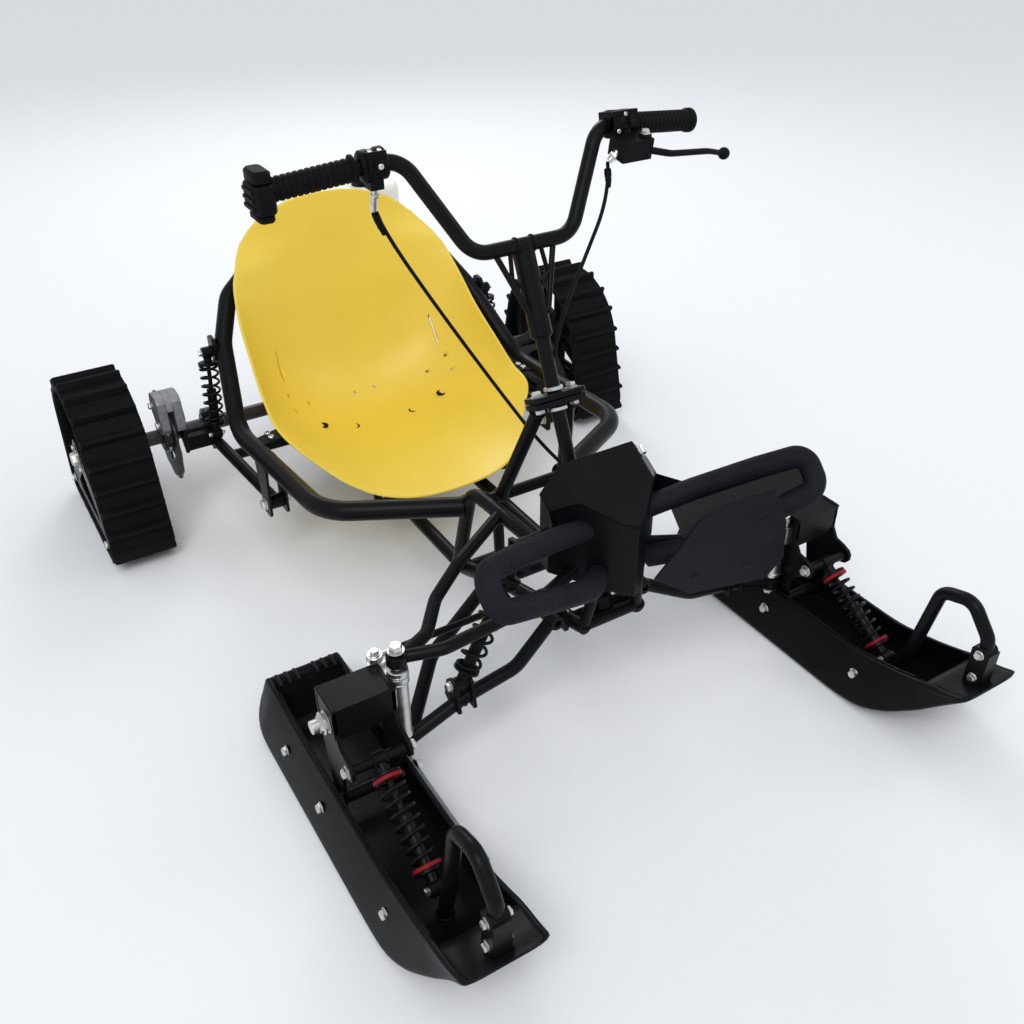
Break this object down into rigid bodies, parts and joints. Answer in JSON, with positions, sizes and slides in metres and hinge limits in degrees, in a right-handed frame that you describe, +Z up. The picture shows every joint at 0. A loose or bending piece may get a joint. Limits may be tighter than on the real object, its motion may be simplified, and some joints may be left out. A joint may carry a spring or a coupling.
{
  "type": "tracked snow go-kart",
  "caption": "Single-seat snow kart with steered skis in front, a bucket seat in a tube frame and driven rubber tracks behind, handlebar steering.",
  "frame": {"origin": "centre of the footprint on the ground", "axes": "+Z up, the kart faces -Y, +X is its left side"},
  "size_m": [1.218, 1.5606, 0.8696],
  "materials": {
    "frame_paint": "satin powder coat",
    "panel_black": "satin",
    "foam_black": "matt sleeve",
    "guard_grey": "matt",
    "seat_yellow": "satin moulded",
    "tank_white": "translucent moulded",
    "engine_metal": "cast",
    "spring_black": "satin",
    "dark_steel": "oiled",
    "zinc_steel": "zinc plated",
    "track_rubber": "matt moulded",
    "wheel_black": "moulded",
    "grip_rubber": "ribbed",
    "control_plastic": "moulded",
    "cable_black": "sheathed",
    "ski_plastic": "moulded"
  },
  "bodies": {
    "chassis": {"main_frame": "frame_paint", "upper_frame": "frame_paint", "column_support": "frame_paint", "side_hoop_left": "frame_paint", "side_hoop_right": "frame_paint", "nose_panel": "panel_black", "foot_hoop_left": "foam_black", "foot_hoop_right": "foam_black", "foot_guard_left": "guard_grey", "seat": "seat_yellow", "fuel_tank": "tank_white", "engine": "engine_metal", "arms_left": "frame_paint", "arms_right": "frame_paint", "front_shock_left": "spring_black", "front_shock_right": "spring_black", "swingarm": "frame_paint", "rear_shocks": "spring_black", "rear_axle": "dark_steel", "brake_caliper": "dark_steel", "chain": "dark_steel", "track_left": "track_rubber", "track_right": "track_rubber", "track_wheels_left": "wheel_black", "track_wheels_right": "wheel_black"},
    "steering": {"handlebar": "frame_paint", "stem": "frame_paint", "grip_left": "grip_rubber", "grip_right": "grip_rubber", "throttle_housing": "control_plastic", "left_controls": "control_plastic", "throttle_cable": "cable_black", "brake_cable": "cable_black"},
    "ski_set_left": {"knuckle_left": "zinc_steel", "ski_leg_left": "frame_paint", "ski_shock_left": "spring_black", "ski_loop_left": "frame_paint", "ski_left": "ski_plastic"},
    "tie_rod_left": {"tie_rod_left": "frame_paint"},
    "ski_set_right": {"knuckle_right": "zinc_steel", "ski_leg_right": "frame_paint", "ski_shock_right": "spring_black", "ski_loop_right": "frame_paint", "ski_right": "ski_plastic"},
    "tie_rod_right": {"tie_rod_right": "frame_paint"}
  },
  "joints": [
    {"name": "steering_turn", "type": "hinge", "parent": "chassis", "child": "steering", "pos_m": [0, -0.216, 0.494], "axis": [0, 0.4179, 0.9085], "range_deg": [-24, 24], "deforming": ["throttle_cable", "brake_cable"]},
    {"name": "kingpin_left", "type": "hinge", "parent": "chassis", "child": "ski_set_left", "pos_m": [0.363, -0.372, 0.18], "axis": [0, 0, 1], "range_deg": [-30, 30]},
    {"name": "tie_rod_ball_left", "type": "hinge", "parent": "steering", "child": "tie_rod_left", "pos_m": [0.04, -0.30115, 0.20835], "axis": [-0.0596, 0.446, 0.893], "range_deg": [-26, 26]},
    {"name": "kingpin_right", "type": "hinge", "parent": "chassis", "child": "ski_set_right", "pos_m": [-0.363, -0.372, 0.18], "axis": [0, 0, 1], "range_deg": [-30, 30]},
    {"name": "tie_rod_ball_right", "type": "hinge", "parent": "steering", "child": "tie_rod_right", "pos_m": [-0.04, -0.30115, 0.20835], "axis": [0.0596, 0.446, 0.893], "range_deg": [-26, 26]}
  ],
  "couplings": [
    {"joint": "kingpin_left", "follows": "steering_turn", "ratio": 1.2391},
    {"joint": "tie_rod_ball_left", "follows": "steering_turn", "ratio": -1.0602},
    {"joint": "kingpin_right", "follows": "steering_turn", "ratio": 1.2391},
    {"joint": "tie_rod_ball_right", "follows": "steering_turn", "ratio": -1.0602}
  ]
}
